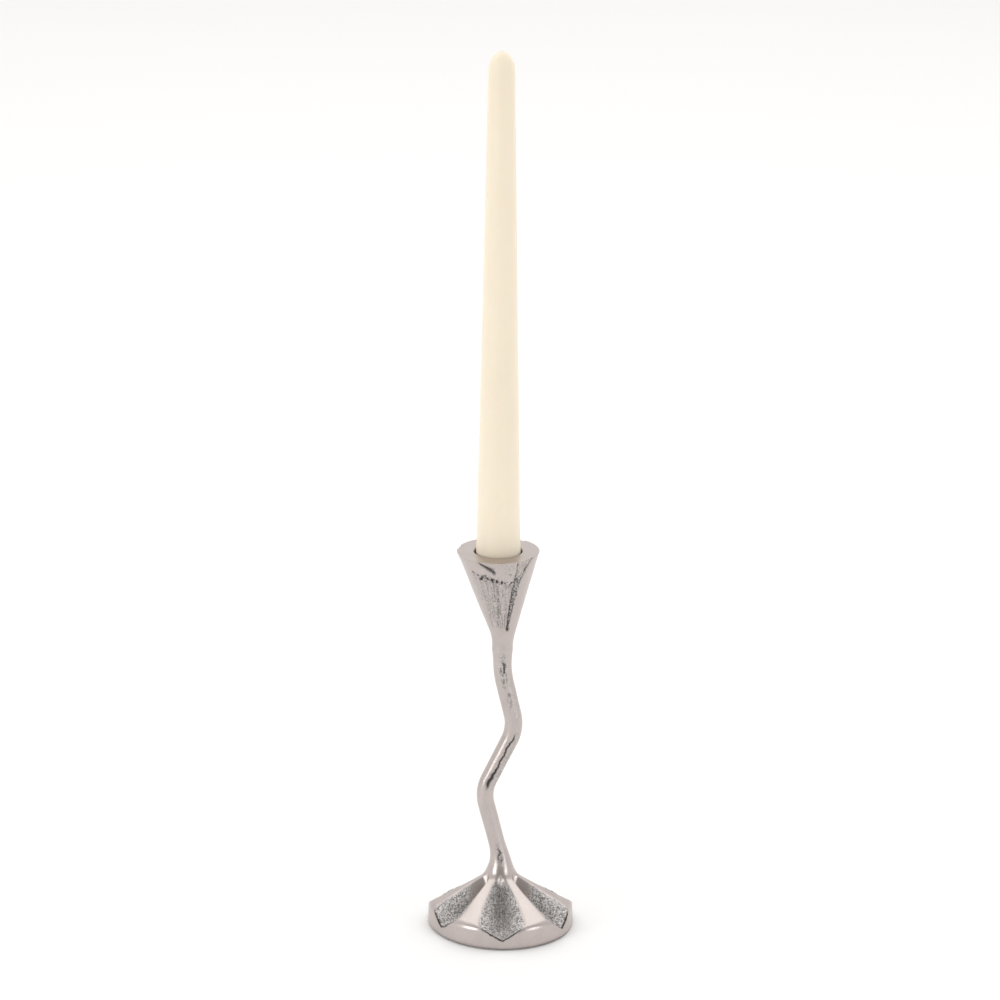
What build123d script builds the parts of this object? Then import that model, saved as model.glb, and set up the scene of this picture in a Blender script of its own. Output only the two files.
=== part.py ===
from build123d import *
import math
import os

# A cast candlestick: a fluted foot, a wavy stem and a pleated cup, bolted together, and the taper
# candle that stands in it. Millimetres. +Z is up, the origin is on the table under the middle of the
# foot, -Y is the front, and the stem waves in the XZ plane.

# Overall
HOLDER_HEIGHT = 200.0  # table to the cup's rim
FOOT_DIAMETER = 74.0
STEM_DIAMETER = 8.3  # at the foot, before it flares
CANDLE_DIAMETER = 22.0  # at the candle's foot
CANDLE_LENGTH = 269.4
FELT_THICKNESS = 1.0

# Foot
FOOT_HEIGHT = 29.0  # from the foot's underside to its seam with the stem
FOOT_NECK_RADIUS = 6.7
# The ridges: how many degrees each is turned from the front, to the right, and how much lower than
# the others it is at the rim. A flute lies between each two.
RIDGES = ((-82.0, 0.0), (-30.6, 0.0), (32.5, 0.0), (82.0, 0.0), (150.0, 5.4), (210.0, 5.4))
RIDGE_FOOT_HEIGHT = 10.5  # a ridge's straight crest where it meets the rim wall
RIDGE_HEAD_HEIGHT = 26.4  # and where it meets the neck
FLUTE_WALL_HEIGHT = 4.2  # rim wall at the middle of a flute
FLUTE_HEAD_HEIGHT = 24.2  # a flute's floor line where it meets the neck
FLUTE_EVEN_FALL = 0.35  # the share of its fall that is even; the rest crowds in by the neck
FLUTE_FALL_POWER = 4.0
FLUTE_RUNOUT = 6.0  # how fast the flutes fade out into the neck
FLUTE_BOW = 0.65  # how V-shaped a front flute is across; smaller is sharper
BACK_FLUTE_BOW = 1.4
# How far one flute's cut runs into the next one's, as a share of its width. The later values are for
# when the first makes two surfaces meet too closely to be cut.
FLUTE_OVERLAPS = (0.03, 0.05, 0.07, 0.02)
RIDGE_LAND = 1.0  # how far a flute's sides run past the ridges, which leaves a flat band on each
BACK_RIDGE_LAND = 0.6
WALL_DRAFT = 0.4  # the rim wall leans in by this much at a ridge
NECK_BLEND = 3.0  # how far out the ridges start to bend up into the neck
RIM_ROUNDING = 4.5
CASTING_WALL = 2.6
UNDERSIDE_LAND = 5.5  # width of the flat ring that the foot stands on
BOSS_RADIUS = 9.5
FELT_INSET = 2.0

# Stem: the corners of its centre line, from the foot up, each with the radius of its bend. A height is
# a share of the stem's length.
STEM_LEAN_START = (0.0, 0.050, 45.0)
STEM_LOWER_BEND = (-8.9, 0.353, 20.0)
STEM_UPPER_BEND = (7.75, 0.642, 22.0)
STEM_TOP_BEND = (1.0, 0.893, 50.0)
STEM_TOP_OFFSET = 1.0  # how far the stem's top stands to the right of the foot's middle
STEM_TOP_DIAMETER = 9.5
STEM_TOP_RADIUS = 5.25
STEM_FOOT_FLARE = 15.0  # length over which the stem widens to the foot's neck
STEM_CUP_FLARE = 12.0  # length over which it widens to the cup
STEM_SECTIONS = 25

# Cup
CUP_HEIGHT = 52.0  # seam with the stem to the rim
CUP_NECK_HEIGHT = 10.5
CUP_NECK_RADIUS = 6.9
CUP_NECK_OFFSET = 1.1
RIM_OFFSET = -1.1  # the rim's middle, to the left of the foot's
RIM_LAND = 8.5  # width of the flat rim round the socket
SOCKET_GAP = 1.0  # all round the candle
SOCKET_WALL = 1.6  # the socket goes down until this much is left beside its floor
SOCKET_ROUNDING = 2.0
SOCKET_CHAMFER = 0.4
PLEATS = 3
PLEAT_TURN = 39.0  # degrees from the front to the first pleat, to the right
PLEAT_PITCH = 108.0  # degrees from one pleat to the next
PLEAT_LEAN = 20.0  # degrees from a pleat's lower end to its upper one
PLEAT_WIDTH = 5.4  # at the rim
PLEAT_DEPTH = 1.3  # at the rim
PLEAT_END_WIDTH = 1.2
PLEAT_END_DEPTH = 0.4

# Fasteners: M5 throughout, with their threads as plain cylinders
THREAD_DIAMETER = 5.0
THREAD_GAP = 0.05
SCREW_LENGTH = 25.0
SCREW_HEAD_DIAMETER = 8.5
SCREW_HEAD_HEIGHT = 5.0
SCREW_KEY = 4.0
SCREW_KEY_DEPTH = 2.5
WASHER_DIAMETER = 10.0
WASHER_THICKNESS = 1.0
LOCK_WASHER_DIAMETER = 9.2
LOCK_WASHER_THICKNESS = 1.2
LOCK_WASHER_SPLIT = 0.8
HEAD_RECESS = 0.8  # screw head above the felt
COUNTERBORE_GAP = 0.5
SCREW_HOLE_GAP = 0.25
STUD_LENGTH = 18.0
HOLE_RUNOUT = 1.5  # a tapped hole goes this much past its screw
SPIGOT_DIAMETER = 8.0
SPIGOT_LENGTH = 6.0
SPIGOT_GAP = 0.05
END_GAP = 0.3
THREAD_CHAMFER = 0.5

# Candle
CANDLE_TOP_DIAMETER = 12.9
CANDLE_TIP_HEIGHT = 9.4
# The tip's outline: (share of its height, share of the top's radius)
TIP_OUTLINE = ((0, 1), (0.37, 0.89), (0.63, 0.785), (0.83, 0.66), (0.955, 0.42))
BUTT_CHAMFER = 0.8
WICK_DIAMETER = 2.0
WICK_END_GAP = 0.3
CANDLE_LEAN = 0.38  # degrees out of plumb, to the right

foot_radius = FOOT_DIAMETER / 2
socket_radius = CANDLE_DIAMETER / 2 + SOCKET_GAP
rim_radius = socket_radius + RIM_LAND
foot_seam = FELT_THICKNESS + FOOT_HEIGHT
neck_taper = 2 * (FOOT_NECK_RADIUS - STEM_DIAMETER / 2) / STEM_FOOT_FLARE
cup_seam = HOLDER_HEIGHT - CUP_HEIGHT
stem_length = cup_seam - foot_seam
foot_bottom = FELT_THICKNESS
spigot_bottom = foot_seam - SPIGOT_LENGTH
head_bottom = foot_bottom + HEAD_RECESS
head_top = head_bottom + SCREW_HEAD_HEIGHT
washer_bottom = head_top + LOCK_WASHER_THICKNESS
counterbore_top = washer_bottom + WASHER_THICKNESS
counterbore_radius = WASHER_DIAMETER / 2 + COUNTERBORE_GAP
screw_top = head_top + SCREW_LENGTH
stud_bottom = cup_seam - STUD_LENGTH / 2
stud_top = cup_seam + STUD_LENGTH / 2
tapped_radius = THREAD_DIAMETER / 2 + THREAD_GAP
screw_hole_radius = THREAD_DIAMETER / 2 + SCREW_HOLE_GAP


def cylinder(radius, bottom, top, x=0.0):
    """A round bar along Z from bottom to top, its axis at x."""
    return Pos(x, 0, bottom) * Cylinder(
        radius, top - bottom, align=(Align.CENTER, Align.CENTER, Align.MIN)
    )


def turned(profile_face):
    """The solid that a face in the XZ plane sweeps in a full turn about Z."""
    return revolve(profile_face, Axis.Z)


def ridge_height(radius):
    """Height of a ridge's straight crest above the foot's underside."""
    share = (foot_radius - radius) / (foot_radius - FOOT_NECK_RADIUS)
    return RIDGE_FOOT_HEIGHT + (RIDGE_HEAD_HEIGHT - RIDGE_FOOT_HEIGHT) * share


def flute_floor(radius):
    """Height of a flute's floor line above the underside: steep at the neck, flat at the rim."""
    share = max(0.0, (foot_radius - radius) / (foot_radius - FOOT_NECK_RADIUS))
    fall = FLUTE_EVEN_FALL * share + (1 - FLUTE_EVEN_FALL) * share**FLUTE_FALL_POWER
    return FLUTE_WALL_HEIGHT + (FLUTE_HEAD_HEIGHT - FLUTE_WALL_HEIGHT) * fall


def flute_height(radius, share, drop, front):
    """Height of a flute's surface; share is 0 on its floor line and 1 on a ridge that is lowered by drop."""
    across = math.sin(math.pi / 2 * abs(share) ** (FLUTE_BOW if front else BACK_FLUTE_BOW)) ** 2
    floor = flute_floor(radius)
    outwards = (radius - FOOT_NECK_RADIUS) / (foot_radius - FOOT_NECK_RADIUS)
    land = RIDGE_LAND if front else BACK_RIDGE_LAND
    crest = ridge_height(radius) + (-drop * (1 + 3 * outwards) / 4 if drop else land)
    runout = max(0.0, (FOOT_NECK_RADIUS + NECK_BLEND - radius) / NECK_BLEND) ** 2
    return floor + (crest - floor) * across + FLUTE_RUNOUT * runout


def flute_cutter(left, right, overlap):
    """What a flute between two ridges takes away: the space above a surface that runs past the rim."""
    (left_turn, left_drop), (right_turn, right_drop) = left, right
    middle, half = (left_turn + right_turn) / 2, (right_turn - left_turn) / 2
    front = math.cos(math.radians(middle)) > 0
    inner, outer = FOOT_NECK_RADIUS * 0.75, foot_radius + 2.0
    rows = []
    for i in range(14):
        radius = inner + (outer - inner) * i / 13
        row = []
        for j in range(-8, 9):
            share = (1 + overlap) * j / 8
            angle = math.radians(middle + half * share - 90)
            height = flute_height(radius, share, left_drop if j < 0 else right_drop, front)
            x, y = radius * math.cos(angle), radius * math.sin(angle)
            row.append(Vector(x, y, foot_bottom + height))
        rows.append(row)
    floor = Face.make_surface_from_array_of_points(rows, tol=0.02)
    return extrude(floor, amount=FOOT_HEIGHT * 1.5, dir=(0, 0, 1))


def carved(body, left, right):
    """The foot with one flute cut into it. A cut that goes wrong is tried again a little wider."""
    for overlap in FLUTE_OVERLAPS:
        cut = body - flute_cutter(left, right, overlap)
        if cut.is_valid and 0.8 * body.volume < cut.volume < 0.999 * body.volume:
            return cut
    raise ValueError(f"the flute between {left} and {right} can't be cut")


def foot_blank():
    """The foot as turned on a lathe: a rim wall, a straight crest that bends up into the neck."""
    rim_top = (foot_radius - WALL_DRAFT, foot_bottom + ridge_height(foot_radius - WALL_DRAFT))
    crest_end = FOOT_NECK_RADIUS + NECK_BLEND
    crest_top = (crest_end, foot_bottom + ridge_height(crest_end))
    crest = (crest_top[0] - rim_top[0], crest_top[1] - rim_top[1])
    with BuildSketch(Plane.XZ) as section:
        with BuildLine():
            Polyline((0, foot_bottom), (foot_radius, foot_bottom), rim_top, crest_top)
            Spline(crest_top, (FOOT_NECK_RADIUS, foot_seam), tangents=[crest, (-neck_taper, 1)])
            Polyline((FOOT_NECK_RADIUS, foot_seam), (0, foot_seam), (0, foot_bottom))
        make_face()
        fillet(nearest(section.vertices(), *rim_top), RIM_ROUNDING)
    return turned(section.sketch)


def nearest(corners, x, z):
    """The corner of a section, drawn in the XZ plane, that is nearest to (x, z)."""
    return corners.sort_by_distance((x, z, 0))[0]


def foot_pocket():
    """The ring-shaped hollow under the foot, which follows the flutes' floor a wall's thickness below."""
    outer = foot_radius - UNDERSIDE_LAND
    radii = [BOSS_RADIUS + (outer - BOSS_RADIUS) * i / 5 for i in range(6)]
    roof = [(r, foot_bottom + flute_floor(r) - CASTING_WALL) for r in radii]
    with BuildSketch(Plane.XZ) as section:
        with BuildLine():
            Spline(*roof)
            Polyline(
                roof[-1], (outer, foot_bottom - 1), (BOSS_RADIUS, foot_bottom - 1), roof[0]
            )
        make_face()
    return turned(section.sketch)


def make_foot():
    """Fluted foot: six hollow flutes between ridges, a rim wall, a hollow underside and a boss."""
    body = foot_blank()
    first_turn, first_drop = RIDGES[0]
    next_ridges = RIDGES[1:] + ((first_turn + 360, first_drop),)
    for left, right in zip(RIDGES, next_ridges):
        body = carved(body, left, right)
    body -= foot_pocket()
    body -= cylinder(counterbore_radius, foot_bottom - 1, counterbore_top)
    body -= cylinder(screw_hole_radius, foot_bottom, foot_seam)
    body -= cylinder(SPIGOT_DIAMETER / 2 + SPIGOT_GAP, spigot_bottom - END_GAP, foot_seam + 1)
    return body


def stem_path():
    """The stem's centre line: straight legs joined by round bends."""
    corners = [STEM_LEAN_START, STEM_LOWER_BEND, STEM_UPPER_BEND, STEM_TOP_BEND]
    points = [(0, 0, foot_seam)]
    points += [(x, 0, foot_seam + share * stem_length) for x, share, _ in corners]
    points += [(STEM_TOP_OFFSET, 0, cup_seam)]
    return FilletPolyline(*points, radius=[bend for _, _, bend in corners])


def stem_radius(above_foot):
    """The stem's radius at a height above its seam with the foot: a bar that flares at both ends."""
    bar = (STEM_DIAMETER + (STEM_TOP_DIAMETER - STEM_DIAMETER) * above_foot / stem_length) / 2
    low = max(0.0, 1 - above_foot / STEM_FOOT_FLARE)
    high = max(0.0, 1 - (stem_length - above_foot) / STEM_CUP_FLARE)
    return bar + (FOOT_NECK_RADIUS - bar) * low**2 + (STEM_TOP_RADIUS - bar) * high**2


def make_stem():
    """Wavy stem: round sections strung along the centre line, a spigot below and two tapped holes."""
    path = stem_path()
    sections = []
    for i in range(STEM_SECTIONS):
        share = i / (STEM_SECTIONS - 1)
        at = path @ share
        across = Plane(origin=at, x_dir=(0, 1, 0), z_dir=path % share)
        sections.append(across * Circle(stem_radius(at.Z - foot_seam)))
    body = loft(sections)
    body += cylinder(SPIGOT_DIAMETER / 2, spigot_bottom, foot_seam + 1)
    body -= cylinder(tapped_radius, spigot_bottom - 1, screw_top + HOLE_RUNOUT)
    body -= cylinder(tapped_radius, stud_bottom - HOLE_RUNOUT, cup_seam + 1, STEM_TOP_OFFSET)
    return body


def cup_section(height):
    """(middle, radius) of the cup at a height above the table: a neck that opens into a leaning cone."""
    lean = (RIM_OFFSET - CUP_NECK_OFFSET) / (HOLDER_HEIGHT - cone_start)
    flare = (rim_radius - CUP_NECK_RADIUS) / (HOLDER_HEIGHT - cone_start)
    if height >= cone_start:
        above = height - cone_start
        return CUP_NECK_OFFSET + lean * above, CUP_NECK_RADIUS + flare * above
    share = (height - cup_seam) / CUP_NECK_HEIGHT
    middle = eased(STEM_TOP_OFFSET, CUP_NECK_OFFSET, lean * CUP_NECK_HEIGHT, share)
    return middle, eased(STEM_TOP_RADIUS, CUP_NECK_RADIUS, flare * CUP_NECK_HEIGHT, share)


def eased(start, end, end_slope, share):
    """A value that leaves start with no slope and arrives at end with a slope, as share goes 0 to 1."""
    return (
        start
        + (end - start) * (3 - 2 * share) * share**2
        + end_slope * (share - 1) * share**2
    )


def socket_depth():
    """How deep the socket can go before the cone's leaning side comes within a wall's thickness."""
    spare = rim_radius - socket_radius - SOCKET_WALL
    narrowing = (rim_radius - CUP_NECK_RADIUS + CUP_NECK_OFFSET - RIM_OFFSET) / (
        HOLDER_HEIGHT - cone_start
    )
    return spare / narrowing


def pleat_cutter(turn):
    """The channel that one pleat leaves in the cup's side: a strip that widens and deepens to the rim."""
    sections = []
    for height in (cone_start, HOLDER_HEIGHT + 1):
        share = (height - cone_start) / (HOLDER_HEIGHT - cone_start)
        middle, radius = cup_section(height)
        width = PLEAT_END_WIDTH + (PLEAT_WIDTH - PLEAT_END_WIDTH) * share
        depth = PLEAT_END_DEPTH + (PLEAT_DEPTH - PLEAT_END_DEPTH) * share
        strip = Pos(radius - depth, 0) * Rectangle(
            depth + 2, width, align=(Align.MIN, Align.CENTER)
        )
        here = turn - 90 - PLEAT_LEAN * (1 - share)
        sections.append(Pos(middle, 0, height) * Rot(0, 0, here) * strip)
    return loft(sections, ruled=True)


def socket():
    """The candle's socket as a solid: a round bar with a rounded end and a chamfered mouth."""
    bar = cylinder(socket_radius, socket_floor, HOLDER_HEIGHT + 1, RIM_OFFSET)
    bar = fillet(bar.edges().sort_by(Axis.Z)[0], SOCKET_ROUNDING)
    mouth = Pos(RIM_OFFSET, 0, HOLDER_HEIGHT - SOCKET_CHAMFER) * Cone(
        socket_radius,
        socket_radius + 2 * SOCKET_CHAMFER,
        2 * SOCKET_CHAMFER,
        align=(Align.CENTER, Align.CENTER, Align.MIN),
    )
    return bar + mouth


def make_cup():
    """Pleated cup: a neck that opens into a leaning cone, pleats down its side and a candle socket."""
    neck_heights = [cup_seam + CUP_NECK_HEIGHT * i / 5 for i in range(6)]
    body = loft([cup_circle(height) for height in neck_heights])
    body += loft([cup_circle(cone_start), cup_circle(HOLDER_HEIGHT)], ruled=True)
    for i in range(PLEATS):
        body -= pleat_cutter(PLEAT_TURN + PLEAT_PITCH * i)
    body -= socket()
    body -= cylinder(tapped_radius, cup_seam - 1, stud_top + HOLE_RUNOUT, STEM_TOP_OFFSET)
    return body


def cup_circle(height):
    """The cup's outline at a height."""
    middle, radius = cup_section(height)
    return Pos(middle, 0, height) * Circle(radius)


cone_start = cup_seam + CUP_NECK_HEIGHT
socket_floor = HOLDER_HEIGHT - socket_depth()


def threaded_bar(bottom, top, x=0.0):
    """A bar of the thread's outer diameter, chamfered at both ends."""
    bar = cylinder(THREAD_DIAMETER / 2, bottom, top, x)
    return chamfer(bar.edges().filter_by(GeomType.CIRCLE), THREAD_CHAMFER)


def make_cup_stud():
    """Headless stud that joins the cup to the stem."""
    return threaded_bar(stud_bottom, stud_top, STEM_TOP_OFFSET)


def make_foot_screw():
    """Socket-head screw that holds the stem to the foot from below."""
    shank = threaded_bar(head_top - THREAD_CHAMFER * 2, screw_top)
    head = cylinder(SCREW_HEAD_DIAMETER / 2, head_bottom, head_top)
    key = Pos(0, 0, head_bottom) * extrude(
        RegularPolygon(SCREW_KEY / 2, 6, major_radius=False), SCREW_KEY_DEPTH
    )
    return head + shank - key


def make_lock_washer():
    """Spring lock washer, split on one side, under the screw's head."""
    ring = cylinder(LOCK_WASHER_DIAMETER / 2, head_top, washer_bottom)
    ring -= cylinder(screw_hole_radius, head_top - 1, washer_bottom + 1)
    split = Pos(LOCK_WASHER_DIAMETER / 2, 0, (head_top + washer_bottom) / 2) * Box(
        LOCK_WASHER_DIAMETER, LOCK_WASHER_SPLIT, LOCK_WASHER_THICKNESS * 2
    )
    return ring - Rot(0, 0, 35) * split


def make_washer():
    """Plain washer between the lock washer and the foot."""
    ring = cylinder(WASHER_DIAMETER / 2, washer_bottom, counterbore_top)
    return ring - cylinder(screw_hole_radius, washer_bottom - 1, counterbore_top + 1)


def make_felt():
    """Felt disc glued to the ring and the boss under the foot. The candlestick stands on it."""
    return cylinder(foot_radius - FELT_INSET, 0, FELT_THICKNESS)


def in_socket(shape):
    """Stands a candle piece, made upright on the origin, in the socket, leaning a little."""
    lift = CANDLE_DIAMETER / 2 * math.sin(math.radians(CANDLE_LEAN))
    return Pos(RIM_OFFSET, 0, socket_floor + lift) * Rot(0, CANDLE_LEAN, 0) * shape


def make_candle_wax():
    """Taper candle: a straight butt in the socket, a long taper and a domed tip."""
    wick = WICK_DIAMETER / 2
    butt = CANDLE_DIAMETER / 2
    shoulder = CANDLE_LENGTH - CANDLE_TIP_HEIGHT
    dome = [
        (across * CANDLE_TOP_DIAMETER / 2, shoulder + up * CANDLE_TIP_HEIGHT)
        for up, across in TIP_OUTLINE
    ]
    with BuildSketch(Plane.XZ) as section:
        with BuildLine():
            Polyline(
                (wick, CANDLE_LENGTH),
                (wick, 0),
                (butt - BUTT_CHAMFER, 0),
                (butt, BUTT_CHAMFER),
                (butt, socket_depth()),
                dome[0],
            )
            Spline(*dome, (wick, CANDLE_LENGTH))
        make_face()
    return in_socket(turned(section.sketch))


def make_candle_wick():
    """Cotton wick up the middle of the wax, trimmed just below the crown."""
    return in_socket(cylinder(WICK_DIAMETER / 2, 0, CANDLE_LENGTH - WICK_END_GAP))


PIECES = {
    "foot": make_foot,
    "stem": make_stem,
    "cup": make_cup,
    "cup_stud": make_cup_stud,
    "foot_screw": make_foot_screw,
    "foot_lock_washer": make_lock_washer,
    "foot_washer": make_washer,
    "felt_disc": make_felt,
    "candle_wax": make_candle_wax,
    "candle_wick": make_candle_wick,
}

os.makedirs("parts", exist_ok=True)
for name, make in PIECES.items():
    export_step(make(), f"parts/{name}.step")
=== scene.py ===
import math

import bpy
import numpy as np
from bpy.props import FloatProperty, FloatVectorProperty, IntProperty, PointerProperty
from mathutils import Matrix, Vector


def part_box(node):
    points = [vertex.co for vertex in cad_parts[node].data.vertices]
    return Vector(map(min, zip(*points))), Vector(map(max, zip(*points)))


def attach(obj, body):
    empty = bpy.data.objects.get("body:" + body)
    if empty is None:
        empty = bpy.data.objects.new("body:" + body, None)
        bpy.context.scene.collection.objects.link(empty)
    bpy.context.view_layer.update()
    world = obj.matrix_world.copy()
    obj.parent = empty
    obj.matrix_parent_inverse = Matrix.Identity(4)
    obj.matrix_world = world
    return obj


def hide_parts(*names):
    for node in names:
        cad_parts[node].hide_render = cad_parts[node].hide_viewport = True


bl_info = {
    "name": "Cast Candlestick",
    "version": (1, 0, 0),
    "blender": (4, 5, 0),
    "location": "View3D > Sidebar > Candlestick",
    "description": "Builds a cast candlestick with a fluted foot, a wavy stem, a pleated cup and a candle",
    "category": "Object",
}

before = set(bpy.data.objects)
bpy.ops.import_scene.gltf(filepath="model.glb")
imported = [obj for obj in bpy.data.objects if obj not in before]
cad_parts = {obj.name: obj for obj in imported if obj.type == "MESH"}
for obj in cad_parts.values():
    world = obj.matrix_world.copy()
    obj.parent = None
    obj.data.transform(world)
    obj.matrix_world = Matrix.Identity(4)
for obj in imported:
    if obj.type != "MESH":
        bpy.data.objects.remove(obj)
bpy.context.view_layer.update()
MM = 0.001


def node_box(node):
    """(lowest corner, highest corner) of a frame node in millimetres, as arrays."""
    low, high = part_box(node)
    return np.array(low) / MM, np.array(high) / MM


FOOT_LOW, FOOT_HIGH = node_box("foot")
STEM_LOW = node_box("stem")[0]
CUP_LOW, CUP_HIGH = node_box("cup")
FELT_LOW, FELT_HIGH = node_box("felt_disc")


# Sizes and colours ------------------------------------------------------------------------------


def length(name, description, millimetres):
    """A length that the user sets in the scene's unit."""
    return FloatProperty(
        name=name,
        description=description,
        default=millimetres * MM,
        min=0.0,
        unit="LENGTH",
        subtype="DISTANCE",
        precision=5,
    )


def colour(name, description, red, green, blue):
    """A colour that the user picks."""
    return FloatVectorProperty(
        name=name,
        description=description,
        default=(red, green, blue),
        min=0.0,
        max=1.0,
        size=3,
        subtype="COLOR",
    )


def share(name, description, value):
    """A number from 0 to 1 on a slider."""
    return FloatProperty(
        name=name, description=description, default=value, min=0.0, max=1.0, subtype="FACTOR"
    )


def degrees(name, description, value):
    """An angle."""
    return FloatProperty(
        name=name, description=description, default=math.radians(value), subtype="ANGLE", unit="ROTATION"
    )


def watts(name, description, value):
    """The power of a light."""
    return FloatProperty(name=name, description=description, default=value, min=0.0, unit="POWER")


class FootSettings(bpy.types.PropertyGroup):
    """The foot's sizes."""

    radius: length("Radius", "Radius of the rim wall", (FOOT_HIGH[0] - FOOT_LOW[0]) / 2)
    neck: length("Neck", "Radius where the foot meets the stem", 6.7)
    ridge_foot: length("Ridge at the rim", "Height of a ridge at the rim", 10.5)
    ridge_head: length("Ridge at the neck", "Height of a ridge at the neck", 26.4)
    flute_foot: length("Flute at the rim", "Height of a flute's floor at the rim", 4.2)
    flute_head: length("Flute at the neck", "Height of a flute's floor at the neck", 24.2)
    rounding: length("Rim rounding", "Radius of the corner between a ridge and the wall", 4.5)
    grain: length("Grain", "Depth of the sand grain in the flutes", 0.3)
    steps: IntProperty(name="Steps round", description="Grid steps round the foot", default=528)


class StemSettings(bpy.types.PropertyGroup):
    """The stem's sizes."""

    bar: length("Bar at the foot", "Radius of the bar just above its flare", 4.15)
    bar_top: length("Bar at the cup", "Radius of the bar just below the cup", 4.75)
    top: length("Top", "Radius where the stem meets the cup", 5.25)
    grain: length("Grain", "Depth of the cast streaks", 0.22)
    steps: IntProperty(name="Steps round", description="Grid steps round the stem", default=112)


class CupSettings(bpy.types.PropertyGroup):
    """The cup's sizes."""

    rim: length("Rim", "Radius of the rim", (CUP_HIGH[0] - CUP_LOW[0]) / 2)
    neck: length("Neck", "Radius where the cone starts", 6.9)
    socket: length("Socket", "Radius of the candle's socket", 12.0)
    depth: length("Socket depth", "Depth of the candle's socket", 18.12)
    pleat: length("Pleat depth", "Depth of a pleat at the rim", 1.5)
    grain: length("Grain", "Depth of the cast texture", 0.2)
    steps: IntProperty(name="Steps round", description="Grid steps round the cup", default=440)


class CandleSettings(bpy.types.PropertyGroup):
    """The candle's sizes."""

    radius: length("Radius", "Radius of the candle at its foot", 11.0)
    top: length("Top radius", "Radius where the taper ends and the tip starts", 6.45)
    height: length("Length", "Length of the candle", 269.4)
    tip: length("Tip", "Height of the domed tip", 9.4)
    wick: length("Wick radius", "Radius of the wick", 1.0)
    lean: degrees("Lean", "How far out of plumb the candle stands", 0.38)


class FinishSettings(bpy.types.PropertyGroup):
    """The finishes' colours."""

    silver: colour("Silver", "Polished casting", 0.52, 0.465, 0.445)
    sand: colour("Sand grain", "The casting's rough places", 0.56, 0.54, 0.53)
    # Painted shade: the near black painted into the casting's creases, folds and pits in place of their
    # shade, with dark patina in the pits.
    shade_and_patina: colour("Shade and patina", "The casting's pits and creases", 0.045, 0.04, 0.038)
    polish: share("Polish", "Roughness of the polished casting", 0.24)
    wax: colour("Wax", "The candle", 0.9, 0.805, 0.655)
    cotton: colour("Cotton", "The wick", 0.8, 0.76, 0.66)
    felt: colour("Felt", "The disc under the foot", 0.3, 0.29, 0.28)
    steel: colour("Steel", "Screws and washers", 0.55, 0.56, 0.58)


class StageSettings(bpy.types.PropertyGroup):
    """The floor, the lights and the camera."""

    floor: colour("Floor", "The floor's colour", 0.92, 0.92, 0.92)
    sky: share("Sky", "Brightness of the surroundings", 0.98)
    dark_side: share("Dark side", "How bright the camera's side is beside the rest", 0.42)
    top_light: watts("Top light", "Power of the light above and behind", 23.0)
    side_light: watts("Side lights", "Power of each side light", 22.0)
    lens: FloatProperty(name="Lens", description="Focal length", default=144.0, unit="CAMERA")
    tilt: degrees("Tilt", "How far the camera looks down", 18.2)
    distance: length("Distance", "From the candlestick to the camera, along the floor", 1875.1)
    eye: length("Height", "Height of the camera above the table", 842.8)


GROUPS = {
    "candlestick_foot": FootSettings,
    "candlestick_stem": StemSettings,
    "candlestick_cup": CupSettings,
    "candlestick_candle": CandleSettings,
    "candlestick_finish": FinishSettings,
    "candlestick_stage": StageSettings,
}


# Noise and curves on arrays ---------------------------------------------------------------------


def scatter(cell, seed):
    """A number from 0 to 1 for each whole-numbered cell (..., 3): its coordinates times large primes,
    added, and mixed by shifts and products that run over."""
    with np.errstate(over="ignore"):
        c = cell.astype(np.int64).astype(np.uint32)
        h = c[..., 0] * np.uint32(374761393) + c[..., 1] * np.uint32(668265263)
        h = h + c[..., 2] * np.uint32(2246822519) + np.uint32(seed * 3266489917 % 2**32)
        h = (h ^ (h >> np.uint32(13))) * np.uint32(1274126177)
        h = (h ^ (h >> np.uint32(15))) * np.uint32(2246822519)
        h = h ^ (h >> np.uint32(16))
    return h.astype(np.float64) / 2**32


def noise(points, size, seed):
    """Smooth noise from 0 to 1: the eight corners of each cell of that size, blended by a smooth step."""
    at = points / np.asarray(size, float)
    base = np.floor(at)
    t = at - base
    t = t * t * (3 - 2 * t)
    total = 0.0
    for corner in range(8):
        bits = np.array([corner & 1, corner >> 1 & 1, corner >> 2 & 1])
        weight = np.prod(np.where(bits, t, 1 - t), axis=-1)
        total = total + weight * scatter(base + bits, seed)
    return total


def rough_noise(points, size, seed, layers=3):
    """Noise from 0 to 1 in layers, each half as large and about half as strong as the one before."""
    size = np.asarray(size, float)
    total = norm = 0.0
    for layer in range(layers):
        weight = 0.55**layer
        total = total + weight * noise(points, size / 2**layer, seed + 17 * layer)
        norm += weight
    return total / norm


def step(low, high, value):
    """0 below low, 1 above high, and a smooth rise between them."""
    t = np.clip((value - low) / (high - low), 0, 1)
    return t * t * (3 - 2 * t)


def bump(value, middle, half):
    """1 at the middle, falling smoothly to 0 at half the width either side."""
    return 1 - step(0, half, np.abs(value - middle))


def softer(a, b, blend):
    """The lesser of two heights with the corner between them rounded: their mean, less the root of a
    quarter of their difference squared plus the blend squared."""
    return (a + b) / 2 - np.sqrt((a - b) ** 2 / 4 + blend**2)


def line(start, end, steps):
    """Points of a straight line, its start left out."""
    t = np.linspace(0, 1, steps + 1)[1:, None]
    return np.array(start, float) + (np.array(end, float) - start) * t


def polyline(*corners_and_steps):
    """Points down a chain of straight lines: corner, steps, corner, steps, corner and so on."""
    points = [np.array([corners_and_steps[0]], float)]
    for i in range(1, len(corners_and_steps), 2):
        points.append(line(points[-1][-1], corners_and_steps[i + 1], corners_and_steps[i]))
    return np.concatenate(points)


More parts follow.
